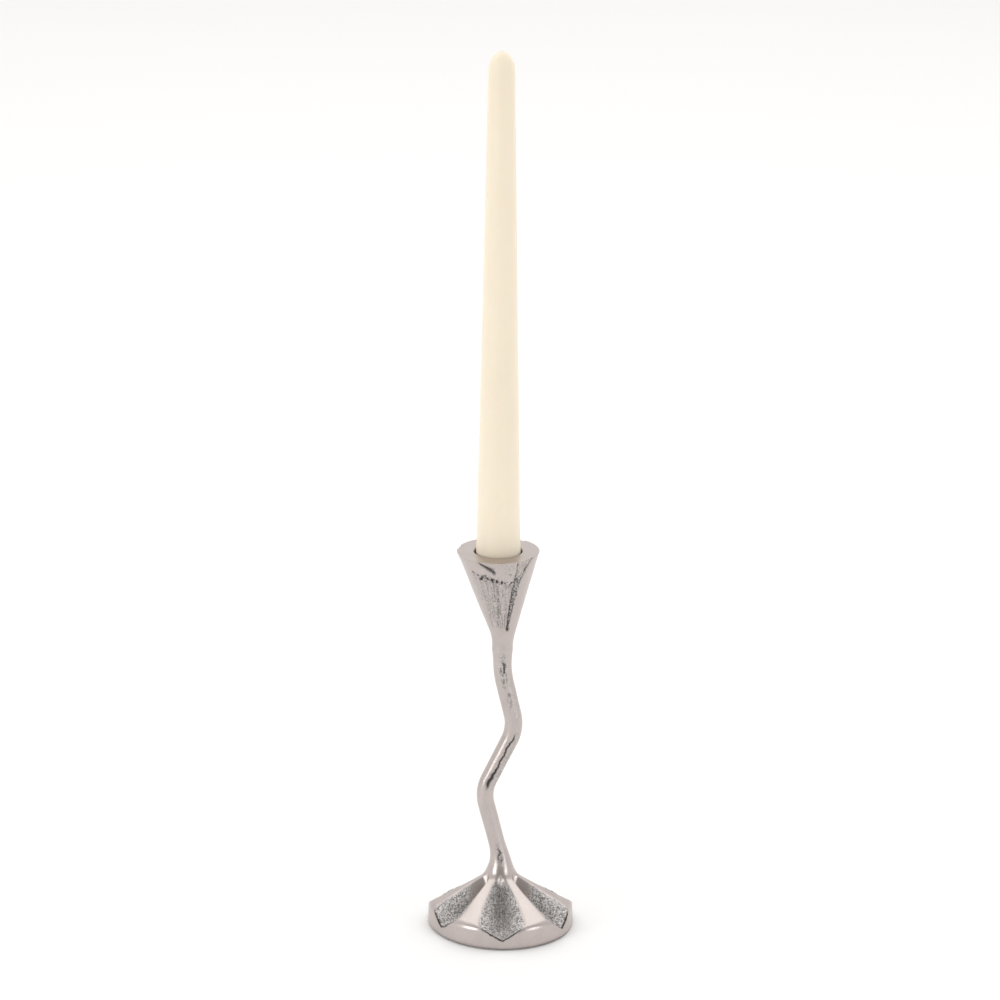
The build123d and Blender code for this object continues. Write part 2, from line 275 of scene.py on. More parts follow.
def hermite(start, end, start_way, end_way, steps):
    """Points of a cubic that leaves start and reaches end along two given directions."""
    t = np.linspace(0, 1, steps + 1)[:, None]
    start, end = np.array(start, float), np.array(end, float)
    reach = np.linalg.norm(end - start)
    a = np.array(start_way, float) / np.linalg.norm(start_way) * reach
    b = np.array(end_way, float) / np.linalg.norm(end_way) * reach
    return (
        start * (2 * t**3 - 3 * t**2 + 1)
        + a * (t**3 - 2 * t**2 + t)
        + end * (3 * t**2 - 2 * t**3)
        + b * (t**3 - t**2)
    )


# Meshes -----------------------------------------------------------------------------------------

SHARP_EDGE = math.radians(42.0)


def ring_faces(rows, around, looped):
    """Corner numbers of the squares between neighbouring rows of a grid that closes round on itself."""
    count = rows if looped else rows - 1
    i, j = np.meshgrid(np.arange(count), np.arange(around), indexing="ij")
    up, on = (i + 1) % rows, (j + 1) % around
    return np.stack([i * around + j, i * around + on, up * around + on, up * around + j], -1).reshape(-1, 4)


def add_piece(name, grid, material, body, node, looped=False, marks=None):
    """A closed mesh from a grid (rows, round, xyz) in millimetres, which rides on a body for a frame node.
    The grid closes round on itself. It is looped where its last row meets its first; if not, each end row
    is closed by a pole at its middle. marks are numbers for each grid point that materials read."""
    rows, around = grid.shape[:2]
    points = grid.reshape(-1, 3)
    squares = ring_faces(rows, around, looped)
    triangles = np.zeros((0, 3), int)
    if not looped:
        poles = np.stack([grid[0].mean(0), grid[-1].mean(0)])
        j = np.arange(around)
        on = (j + 1) % around
        first, last = len(points), len(points) + 1
        end = (rows - 1) * around
        triangles = np.concatenate(
            [
                np.stack([np.full(around, first), on, j], -1),
                np.stack([np.full(around, last), end + j, end + on], -1),
            ]
        )
        points = np.concatenate([points, poles])
    a, b, c, d = (points[squares[:, k]] for k in range(4))
    volume = np.einsum("ij,ij->", a, np.cross(b, c) + np.cross(c, d))
    if len(triangles):
        e, f, g = (points[triangles[:, k]] for k in range(3))
        volume += np.einsum("ij,ij->", e, np.cross(f, g))
    if volume < 0:
        squares, triangles = squares[:, ::-1], triangles[:, ::-1]
    mesh = bpy.data.meshes.new(name)
    mesh.vertices.add(len(points))
    mesh.vertices.foreach_set("co", (points * MM).astype(np.float32).ravel())
    face_corners = np.concatenate([squares.ravel(), triangles.ravel()]).astype(np.int32)
    mesh.loops.add(len(face_corners))
    mesh.loops.foreach_set("vertex_index", face_corners)
    mesh.polygons.add(len(squares) + len(triangles))
    starts = np.concatenate(
        [np.arange(len(squares)) * 4, squares.size + np.arange(len(triangles)) * 3]
    ).astype(np.int32)
    mesh.polygons.foreach_set("loop_start", starts)
    mesh.polygons.foreach_set("use_smooth", np.ones(len(mesh.polygons), bool))
    mesh.update(calc_edges=True)
    if mesh.validate():
        raise RuntimeError(f"{name} has faulty faces")
    for mark, values in (marks or {}).items():
        values = np.asarray(values, float).ravel()
        values = np.concatenate([values, np.zeros(len(points) - len(values))])
        mesh.attributes.new(mark, "FLOAT", "POINT").data.foreach_set("value", values.astype(np.float32))
    mesh.set_sharp_from_angle(angle=SHARP_EDGE)
    mesh.materials.append(material)
    piece = bpy.data.objects.new(name, mesh)
    bpy.context.scene.collection.objects.link(piece)
    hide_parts(node)
    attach(piece, body)


def padded(mark, before, after):
    """A mark with rows of zeros for the plain rows before and after it."""
    around = mark.shape[1]
    return np.concatenate([np.zeros((before, around)), mark, np.zeros((after, around))])


def turned(profile, around, middle=0.0):
    """A profile of (radius, height) carried once round the Z axis at x = middle."""
    turn = np.arange(around) * 2 * np.pi / around
    radius, height = profile[:, :1], profile[:, 1:]
    x = middle + radius * np.sin(turn)
    return np.stack([x, -radius * np.cos(turn), np.broadcast_to(height, x.shape)], -1)


# Materials --------------------------------------------------------------------------------------


class Value:
    """A number or colour on its way through a material. Sums on numbers add Math nodes."""

    def __init__(self, graph, socket):
        self.graph, self.socket = graph, socket

    def sum(self, operation, first, second):
        return self.graph.add("ShaderNodeMath", {"operation": operation}, {0: first, 1: second})

    def __add__(self, other):
        return self.sum("ADD", self, other)

    def __sub__(self, other):
        return self.sum("SUBTRACT", self, other)

    def __rsub__(self, other):
        return self.sum("SUBTRACT", other, self)

    def __mul__(self, other):
        return self.sum("MULTIPLY", self, other)

    __radd__, __rmul__ = __add__, __mul__


class Graph:
    """The nodes of a material or of the surroundings, which start out empty."""

    def __init__(self, owner, place="Object"):
        owner.use_nodes = True
        self.owner = owner
        self.tree = owner.node_tree
        self.tree.nodes.clear()
        self.place = self.add("ShaderNodeTexCoord", output=place)

    def add(self, kind, settings=None, inputs=None, output=0):
        """Adds a node of that kind, makes its settings, then fills its sockets with values or links."""
        node = self.tree.nodes.new(kind)
        for name, value in (settings or {}).items():
            setattr(node, name, value)
        for name, value in (inputs or {}).items():
            if isinstance(value, Value):
                self.tree.links.new(value.socket, node.inputs[name])
            else:
                node.inputs[name].default_value = value
        return Value(self, node.outputs[output]) if len(node.outputs) else None

    def mark(self, name):
        """A piece's own number, held at each of its points."""
        return self.add("ShaderNodeAttribute", {"attribute_name": name}, output="Fac")

    def noise(self, size, detail=2.0, roughness=0.5, stretch=(1.0, 1.0, 1.0)):
        """Noise whose lumps are that many millimetres across, stretched along the axes."""
        scale = [1 / (size * MM * s) for s in stretch]
        place = self.add("ShaderNodeMapping", inputs={"Vector": self.place, "Scale": scale})
        return self.add(
            "ShaderNodeTexNoise",
            inputs={"Vector": place, "Scale": 1.0, "Detail": detail, "Roughness": roughness},
        )

    def rise(self, value, low, high, start=0.0, end=1.0):
        """start where the value is below low, end where it is above high, and a smooth change between."""
        return self.add(
            "ShaderNodeMapRange",
            {"interpolation_type": "SMOOTHSTEP"},
            {"Value": value, "From Min": low, "From Max": high, "To Min": start, "To Max": end},
        )

    def blend(self, factor, first, second):
        """A colour between two colours."""
        return self.add(
            "ShaderNodeMix",
            {"data_type": "RGBA"},
            {0: factor, 6: rgba(first), 7: rgba(second)},
            output=2,
        )

    def bumps(self, height, distance):
        """A normal pushed about by a height; distance is the millimetres that 1 stands for."""
        return self.add(
            "ShaderNodeBump", inputs={"Height": height, "Distance": distance * MM, "Strength": 1.0}
        )

    def finish(self, inputs):
        """Ends a material in one Principled shader."""
        shader = self.add("ShaderNodeBsdfPrincipled", inputs=inputs)
        self.add("ShaderNodeOutputMaterial", inputs={"Surface": shader})
        return self.owner


def rgba(value):
    """A colour with its alpha, or a link left as it is."""
    return value if isinstance(value, Value) else (*value, 1.0)


def shade(colour, times):
    """A colour made lighter or darker."""
    return [min(1.0, part * times) for part in colour]


def made_once(name, make):
    """The material of that name, made if it isn't there yet."""
    return bpy.data.materials.get(name) or make(Graph(bpy.data.materials.new(name)))


def cast_silver(g):
    """Cast metal, polished on the high places and left rough in the low ones, where creases and pits are
    painted near black: painted shade, with dark patina in the pits.
    The piece's marks say where: cast is 1 on rough metal, and the other mark is 1 where the painted shade and
    patina is darkest."""
    look = bpy.context.scene.candlestick_finish
    cast, shade_and_patina = g.mark("cast"), g.mark("shade_and_patina")
    cloud = g.noise(9.0, 3.0)
    grain = g.noise(0.5, 3.0, 0.62)
    speck = g.rise(g.noise(0.8, 3.0, 0.62), 0.4, 0.62)
    streak = g.noise(0.5, 2.0, 0.5, (1.0, 1.0, 14.0))
    faint = g.noise(1.4, 4.0, 0.7)
    worn = g.blend(cloud * 0.5 + faint * 0.5, shade(look.silver, 0.8), shade(look.silver, 1.2))
    sand = g.blend(speck, shade(look.sand, 1.2), shade(look.sand, 0.4))
    # Painted shade and patina: where the darkening mark is high, the colour goes to near black.
    base = g.blend(g.rise(shade_and_patina, 0.0, 1.0), g.blend(cast, worn, sand), look.shade_and_patina)
    normal = g.bumps(grain * (0.09 + 2.6 * cast) + streak * 0.1 * (1.0 - cast) + faint * 0.25, 0.14)
    return g.finish(
        {
            "Base Color": base,
            "Metallic": 1.0 - shade_and_patina * 0.35,
            "Roughness": look.polish + 0.09 * cloud + 0.05 * streak + cast * 0.1 + shade_and_patina * 0.2,
            "Normal": normal,
        }
    )


def plated_steel(g):
    """Bright zinc on steel: a fine brushed grain and faint cloudy patches."""
    look = bpy.context.scene.candlestick_finish
    cloud = g.noise(2.4, 3.0)
    fine = g.noise(0.18, 2.0)
    base = g.blend(cloud, shade(look.steel, 0.85), shade(look.steel, 1.1))
    return g.finish(
        {
            "Base Color": base,
            "Metallic": 1.0,
            "Roughness": 0.26 + 0.14 * cloud,
            "Normal": g.bumps(fine, 0.012),
        }
    )


def candle_wax(g):
    """Ivory wax: faint clouds, soft dimples and a satin bloom, with light carried under its skin."""
    look = bpy.context.scene.candlestick_finish
    cloud = g.noise(26.0, 3.0, stretch=(1.0, 1.0, 2.6))
    fine = g.noise(1.7, 3.0)
    bloom = g.noise(6.0, 4.0, 0.6)
    base = g.blend(g.rise(cloud, 0.3, 0.7), look.wax, shade(look.wax, 1.035))
    return g.finish(
        {
            "Base Color": base,
            "Roughness": 0.4 + 0.16 * bloom,
            "Normal": g.bumps(fine * 0.5 + cloud, 0.05),
            "Subsurface Weight": 0.35,
            "Subsurface Radius": (1.0, 0.75, 0.5),
            "Subsurface Scale": 4.0 * MM,
            "IOR": 1.44,
        }
    )


def cotton(g):
    """Waxed cotton: a pale yarn with fine fibres along it."""
    look = bpy.context.scene.candlestick_finish
    fibre = g.noise(0.16, 3.0, 0.6, (1.0, 1.0, 4.0))
    base = g.blend(fibre, shade(look.cotton, 0.8), look.cotton)
    return g.finish({"Base Color": base, "Roughness": 0.7 + 0.2 * fibre, "Normal": g.bumps(fibre, 0.06)})


def pressed_felt(g):
    """Pressed felt: matted fibres with lighter and darker tufts."""
    look = bpy.context.scene.candlestick_finish
    tuft = g.noise(2.2, 4.0, 0.65)
    fibre = g.noise(0.35, 4.0, 0.7, (1.0, 2.4, 1.0))
    base = g.blend(tuft * 0.6 + fibre * 0.4, shade(look.felt, 0.7), shade(look.felt, 1.5))
    return g.finish(
        {
            "Base Color": base,
            "Roughness": 0.86 + 0.1 * fibre,
            "Normal": g.bumps(tuft * 0.4 + fibre * 0.6, 0.16),
            "Sheen Weight": 0.3,
        }
    )


# Foot -------------------------------------------------------------------------------------------

# The ridges: how many degrees each is turned from the front, to the right, and how much lower than the
# others it is at the rim. The last is the first again, a full turn on.
RIDGES = np.array(
    [(-82.0, 0.0), (-30.6, 0.0), (32.5, 0.0), (82.0, 0.0), (150.0, 5.4), (210.0, 5.4), (278.0, 0.0)]
)
FRONT_BOW, BACK_BOW = 0.65, 1.4
FRONT_LAND, BACK_LAND = 1.0, 0.6
NECK_BLEND = 3.0
NECK_TAPER = 0.34
DRAFT = 0.4
BASE = FOOT_LOW[2]
FOOT_TALL = FOOT_HIGH[2] - FOOT_LOW[2]
# The underside: its flat land, the wall above its pocket, its boss, the sunk place and hole for the screw,
# and the seat of the stem's spigot. Heights are counted from the foot's bottom.
LAND_WIDTH = 5.5
WALL = 2.6
BOSS_RADIUS = 9.5
SINK_RADIUS, SINK_DEPTH = 5.5, 8.0
SCREW_HOLE = 2.75
SEAT_RADIUS, SEAT_HEIGHT = 4.05, 22.7
RIM_BULGE = 0.85


def flute_floor(s, radius):
    """Height of a flute's floor line: about a third of its rise is even, and the rest goes as the fourth
    power of the way in from the rim."""
    inwards = np.clip((s.radius / MM - radius) / ((s.radius - s.neck) / MM), 0, 1)
    rise = 0.35 * inwards + 0.65 * inwards**4
    return (s.flute_foot + (s.flute_head - s.flute_foot) * rise) / MM


def ridge_height(s, radius):
    """Height of a ridge's straight crest."""
    inwards = (s.radius / MM - radius) / ((s.radius - s.neck) / MM)
    return (s.ridge_foot + (s.ridge_head - s.ridge_foot) * inwards) / MM


def crown(s, radius, turn):
    """Height of the fluted surface: from a flute's floor line up to the ridges beside it, as the square of
    the sine of a power of the way across. turn is in degrees from the front."""
    turn = (turn - RIDGES[0, 0]) % 360 + RIDGES[0, 0]
    k = np.clip(np.searchsorted(RIDGES[:, 0], turn, side="right") - 1, 0, len(RIDGES) - 2)
    left, right = RIDGES[k], RIDGES[k + 1]
    middle, half = (left[..., 0] + right[..., 0]) / 2, (right[..., 0] - left[..., 0]) / 2
    front = np.cos(np.radians(middle)) > 0
    across = np.abs(turn - middle) / half
    rise = np.sin(np.pi / 2 * across ** np.where(front, FRONT_BOW, BACK_BOW)) ** 2
    drop = np.where(turn < middle, left[..., 1], right[..., 1])
    outwards = (radius - s.neck / MM) / ((s.radius - s.neck) / MM)
    land = np.where(front, FRONT_LAND, BACK_LAND)
    crest = ridge_height(s, radius) + np.where(drop > 0, -drop * (1 + 3 * outwards) / 4, land)
    floor = flute_floor(s, radius)
    runout = 6.0 * np.clip((s.neck / MM + NECK_BLEND - radius) / NECK_BLEND, 0, 1) ** 2
    return floor + (crest - floor) * rise + runout, across


def foot_outline(s):
    """(radius, height) down the foot as if it had no flutes: the neck's curve, the straight crest and the
    rounded corner, which ends on the rim wall."""
    radius, neck, rounding = s.radius / MM, s.neck / MM, s.rounding / MM
    slope = (s.ridge_head - s.ridge_foot) / (s.radius - s.neck)
    way = np.array([1.0, -slope]) / math.hypot(1, slope)
    turn_in = (math.pi / 2 - math.atan(slope)) / 2
    reach = rounding * math.tan(turn_in)
    start = neck + NECK_BLEND
    crest_start = (start, ridge_height(s, start))
    corner = np.array([radius - DRAFT, ridge_height(s, radius - DRAFT)])
    crest_end = corner - way * reach
    throat = hermite((neck, FOOT_TALL), crest_start, (NECK_TAPER, -1), way, 16)
    crest = line(crest_start, crest_end, 74)
    angle = np.linspace(math.pi / 2 - math.atan(slope), 0, 13)[1:, None]
    middle = np.array([corner[0] - rounding, corner[1] - reach])
    corner_arc = middle + rounding * np.concatenate([np.cos(angle), np.sin(angle)], -1)
    return np.concatenate([throat, crest, corner_arc])


def fluted_top(s, turn):
    """Radius, height, rough marks and marks of painted shade and patina over the foot's top. The height is
    the lesser of the plain outline and the crown, less the sand grain where it is rough and slow dents all
    over."""
    profile = foot_outline(s)
    radius = np.broadcast_to(profile[:, :1], (len(profile), s.steps))
    plain = np.broadcast_to(profile[:, 1:], radius.shape)
    sin, cos = np.sin(np.radians(turn)), np.cos(np.radians(turn))
    flat = np.stack([radius * sin, -radius * cos, np.zeros_like(radius)], -1)
    wander = (noise(flat, 9.0, 5) - 0.5) * 1.6 * step(9, 20, radius)
    fluted, across = crown(s, radius, turn + wander)
    depth = plain - fluted
    height = softer(plain, fluted, 0.12 + 0.1 * step(20, 34, radius))
    # Rough in the flutes but not on the ridges, whose polished bands are widest half way out. The flutes
    # either side of the front one are only rough from some way down.
    nearest = np.abs((turn[..., None] - RIDGES[:, 0] + 180) % 360 - 180).min(-1)
    aside = radius * np.sin(np.radians(nearest))
    band = 0.9 + 1.7 * step(10, 30, radius) + 1.7 * bump(radius, 24.0, 12.0)
    band = band + 0.7 * (noise(flat, 2.6, 7) - 0.5)
    cast = step(band - 0.5, band + 0.8, aside) * step(0.0, 0.5, depth)
    facing = step(0.72, 0.86, cos)
    cast = cast * (facing * step(7.5, 9.5, radius) + (1 - facing) * step(13, 19, radius))
    grain = rough_noise(flat, 1.0, 11, 3)
    coarse = rough_noise(flat, 3.6, 23, 2)
    height = height - cast * (s.grain / MM) * (2.6 * (grain - 0.25) + 0.9 * (coarse - 0.5)).clip(0)
    height = height - (noise(flat, 11.0, 31) - 0.2).clip(0) * 0.16 * step(10, 14, radius)
    # Painted shade: a thin dark line down the floor of each rough flute, and a dark band where the flutes
    # meet the rim wall. The deeper grain is painted darker too, for its shade and patina.
    shaded_crease = np.exp(-((across / 0.05) ** 2)) * cast
    pits = step(0.5, 0.68, grain) * cast
    edge_shade = step(s.radius / MM - 1.7, s.radius / MM - 0.8, radius) * step(0.04, 0.3, depth)
    return radius, height, cast, 0.06 * shaded_crease + 0.3 * pits + 0.8 * edge_shade


def underside(s):
    """(radius, height) from inside the wall's last row over the land, up into the pocket, along its roof,
    which follows the flutes' floor line, down the boss, and up through the screw's hole and the seat."""
    outer = s.radius / MM
    edge = outer - LAND_WIDTH
    roof = np.linspace(edge, BOSS_RADIUS, 12)
    roof = np.stack([roof, flute_floor(s, roof) - WALL], -1)
    hollow = polyline((outer - 0.3, 0), 3, (edge, 0), 4, tuple(roof[0]))
    bore = polyline(
        tuple(roof[-1]), 10, (BOSS_RADIUS, 0), 3, (SINK_RADIUS, 0), 6, (SINK_RADIUS, SINK_DEPTH), 3,
        (SCREW_HOLE, SINK_DEPTH), 6, (SCREW_HOLE, SEAT_HEIGHT), 2, (SEAT_RADIUS, SEAT_HEIGHT), 5,
        (SEAT_RADIUS, FOOT_TALL), 3, (s.neck / MM - 0.02, FOOT_TALL),
    )
    return np.concatenate([hollow[1:], roof[1:], bore[1:]])


def foot_grid(s):
    """The foot as a loop of rows carried round: the fluted top, the wall, which stands from the underside
    up to wherever the top ends and leans in by the draft, and the underside."""
    turn = (np.arange(s.steps) * 360 / s.steps)[None, :]
    rad = np.radians(turn)
    sin, cos = np.sin(rad), np.cos(rad)
    radius, height, cast, shade_and_patina = fluted_top(s, turn)
    outer = s.radius / MM
    down = np.linspace(1, 0, 13)[1:, None]
    wall_radius = outer - (outer - radius[-1:, :]) * down - 0.3 * (down < 0.001)
    under = underside(s)
    rows = [
        np.stack([radius, height], -1),
        np.stack([wall_radius, height[-1:, :] * down], -1),
        np.broadcast_to(under[:, None, :], (len(under), s.steps, 2)),
    ]
    both = np.concatenate(rows)
    # The hand-dressed rim isn't quite round: fuller to the front right.
    bulge = RIM_BULGE * np.sin(2 * rad) * step(-0.1, 0.5, cos) * step(20, 36, both[..., 0])
    r = both[..., 0] + bulge
    plain_rows = len(both) - len(height)
    marks = {"cast": padded(cast, 0, plain_rows), "shade_and_patina": padded(shade_and_patina, 0, plain_rows)}
    return np.stack([r * sin, -r * cos, BASE + both[..., 1]], -1), marks


# Stem -------------------------------------------------------------------------------------------

# Corners of the stem's centre line from the foot up: x, share of the stem's height, bend radius.
STEM_BENDS = ((0.0, 0.05, 45.0), (-8.9, 0.353, 20.0), (7.75, 0.642, 22.0), (1.0, 0.893, 50.0))
TOP_X = 1.0
SEAM = FOOT_HIGH[2]
CUP_SEAM = CUP_LOW[2]
SPIGOT_BOTTOM = STEM_LOW[2]
SPIGOT_RADIUS = 4.0
TAPPED_HOLE = 2.55
LOWER_HOLE_END, UPPER_HOLE_END = 33.3, 137.5
LOWER_FLARE, UPPER_FLARE = 15.0, 12.0
# Where the bar was left rough: height, half length, turn from the front, half width in degrees, strength.
STEM_SCARS = (
    (38.5, 7.5, 3.0, 30.0, 1.0), (138.0, 13.0, 4.0, 32.0, 1.0), (124.0, 10.0, 8.0, 22.0, 0.8),
    (113.0, 14.0, 44.0, 34.0, 0.5), (88.0, 18.0, 50.0, 40.0, 0.6), (60.0, 9.0, 170.0, 60.0, 0.6),
    (88.0, 12.0, 200.0, 50.0, 0.5), (130.0, 10.0, 165.0, 45.0, 0.7), (45.0, 6.0, 140.0, 50.0, 0.5),
)


def rounded_path():
    """Points (x, z) along the centre line: straight legs, with an arc of the given radius at each corner
    that starts and ends at radius times the tangent of half the turn from it."""
    tall = CUP_SEAM - SEAM
    corner = [(0.0, SEAM)] + [(x, SEAM + up * tall) for x, up, _ in STEM_BENDS] + [(TOP_X, CUP_SEAM)]
    corner = [np.array(c) for c in corner]
    parts = [corner[0][None]]
    for k, (_, _, bend) in enumerate(STEM_BENDS, start=1):
        a = (corner[k] - corner[k - 1]) / np.linalg.norm(corner[k] - corner[k - 1])
        b = (corner[k + 1] - corner[k]) / np.linalg.norm(corner[k + 1] - corner[k])
        turn = math.acos(float(np.clip(a @ b, -1, 1)))
        start = corner[k] - a * bend * math.tan(turn / 2)
        side = (b - a * (a @ b)) / np.linalg.norm(b - a * (a @ b))
        t = np.linspace(0, turn, 24)[:, None]
        parts.append(start + bend * (np.sin(t) * a + (1 - np.cos(t)) * side))
    parts.append(corner[-1][None])
    path = np.concatenate(parts)
    along = np.concatenate([[0], np.cumsum(np.linalg.norm(np.diff(path, axis=0), axis=1))])
    even = np.linspace(0, along[-1], 380)
    return np.stack([np.interp(even, along, path[:, 0]), np.interp(even, along, path[:, 1])], -1)


def stem_skin(s, path, turn):
    """Radius, rough marks and marks of painted shade and patina over the bar. The radius is the bar's, plus
    the square of the nearness to either end times the flare there, less noise where the bar was left rough."""
    rise = path[:, 1] - SEAM
    tall = CUP_SEAM - SEAM
    bar = (s.bar + (s.bar_top - s.bar) * rise / tall) / MM
    low = np.clip(1 - rise / LOWER_FLARE, 0, 1)
    high = np.clip(1 - (tall - rise) / UPPER_FLARE, 0, 1)
    neck = bpy.context.scene.candlestick_foot.neck / MM
    plain = bar + (neck - bar) * low**2 + (s.top / MM - bar) * high**2
    sin, cos = np.sin(turn)[None, :], np.cos(turn)[None, :]
    radius = np.repeat(plain[:, None], s.steps, 1)
    z = path[:, 1:] + 0 * sin
    spot = np.stack([radius * sin, radius * cos, z], -1)
    free = (step(0, 4, rise) * step(0, 4, tall - rise))[:, None]
    dents = noise(spot, (7.0, 7.0, 13.0), 41) - 0.5
    chips = step(0.2, 0.5, noise(spot, (0.9, 0.9, 2.6), 43))
    cast = np.zeros_like(radius)
    for height, half, angle, width, strength in STEM_SCARS:
        off = (np.degrees(turn) - angle + 180) % 360 - 180
        here = bump(z, height, half) * (1 - step(0, width, np.abs(off)))[None, :]
        cast = np.maximum(cast, strength * np.sqrt(here) * chips)
    cast = cast * step(0, 2, rise)[:, None]
    grain = rough_noise(spot, (0.9, 0.9, 2.1), 47)
    radius = radius - free * (0.22 * np.abs(dents) + 0.05) - cast * (s.grain / MM) * 2 * (grain - 0.2).clip(0)
    # The rough scars are painted darker where their grain is deep: painted shade, with dark patina.
    shade_and_patina = cast**2 * (0.1 + 0.9 * step(0.38, 0.6, grain))
    # A crease that winds down the front of the steepest bend, dented in and painted near black along its
    # line: a painted reflection of the dark surroundings on the camera's side.
    level = spot * (0, 0, 1)
    off = np.degrees(turn)[None, :] - 4 - 14 * step(96, 104, z)
    off = off + 9 * (noise(level, 3.0, 53) - 0.5) + 8 * (noise(level, 0.9, 59) - 0.5)
    off = (off + 180) % 360 - 180
    shaded_crease = np.exp(-((off / (9 + 9 * bump(z, 79, 9))) ** 2)) * step(71, 77, z) * (1 - step(101, 107, z))
    return radius - 0.28 * shaded_crease, np.maximum(cast, 0.5 * shaded_crease), np.maximum(shade_and_patina, shaded_crease**1.5)


def stem_grid(s):
    """The stem as rows carried round: the lower tapped hole and the spigot, the bar as rings strung on its
    centre line, each square to it, and the upper tapped hole."""
    path = rounded_path()
    way = np.gradient(path, axis=0)
    way /= np.linalg.norm(way, axis=1)[:, None]
    turn = np.arange(s.steps) * 2 * np.pi / s.steps
    sin, cos = np.sin(turn)[None, :], np.cos(turn)[None, :]
    radius, cast, shade_and_patina = stem_skin(s, path, turn)
    n = np.stack([way[:, 1], 0 * way[:, 0], -way[:, 0]], -1)[:, None, :]
    y = np.array([0.0, -1.0, 0.0])
    middle = np.stack([path[:, 0], 0 * path[:, 0], path[:, 1]], -1)[:, None, :]
    bars = middle + radius[..., None] * (sin[..., None] * n + cos[..., None] * y)
    neck = bpy.context.scene.candlestick_foot.neck / MM
    below = polyline(
        (TAPPED_HOLE, LOWER_HOLE_END), 8, (TAPPED_HOLE, SPIGOT_BOTTOM), 3, (SPIGOT_RADIUS, SPIGOT_BOTTOM), 6,
        (SPIGOT_RADIUS, SEAM), 3, (neck - 0.02, SEAM),
    )
    above = polyline(
        (s.top / MM - 0.02, CUP_SEAM), 4, (TAPPED_HOLE, CUP_SEAM), 10, (TAPPED_HOLE, UPPER_HOLE_END)
    )
    grid = np.concatenate([turned(below, s.steps), bars, turned(above, s.steps, TOP_X)])
    before, after = len(below), len(above)
    return grid, {"cast": padded(cast, before, after), "shade_and_patina": padded(shade_and_patina, before, after)}


# Cup --------------------------------------------------------------------------------------------

CONE_START = CUP_SEAM + 10.5
RIM = CUP_HIGH[2]
NECK_X, RIM_X = 1.1, -1.1
# The pleats: turn from the front at the rim, to the right, how strong each is, and how far it opens there.
PLEATS = ((39.0, 1.0, 2.2), (147.0, 0.85, 0.8), (255.0, 0.8, 0.0))
PLEAT_LEAN = 20.0
CUP_HOLE_DEPTH = 10.5
# Below this height the side's rows are further apart.
FINE_FROM = 158.0
# Creases at the front pleat's top, painted dark as painted shade: turn from the front, slant in degrees a
# millimetre down, width, strength.
RIM_CREASES = ((31.0, 0.1, 1.8, 1.0), (56.5, 1.5, 1.7, 1.0), (45.0, -0.5, 1.1, 0.6), (24.5, 0.6, 1.0, 0.6))


def cup_line(s, height):
    """(x of the middle, radius) up the cup: a cubic neck that meets a straight leaning cone."""
    tall = RIM - CONE_START
    lean = (RIM_X - NECK_X) / tall
    flare = (s.rim - s.neck) / MM / tall
    up = height - CONE_START
    t = np.clip((height - CUP_SEAM) / (CONE_START - CUP_SEAM), 0, 1)
    top = bpy.context.scene.candlestick_stem.top / MM

    def neck(start, end, slope):
        return start + (end - start) * (3 - 2 * t) * t**2 + slope * (CONE_START - CUP_SEAM) * (t - 1) * t**2

    cone = height >= CONE_START
    middle = np.where(cone, NECK_X + lean * up, neck(TOP_X, NECK_X, lean))
    return middle, np.where(cone, s.neck / MM + flare * up, neck(top, s.neck / MM, flare))


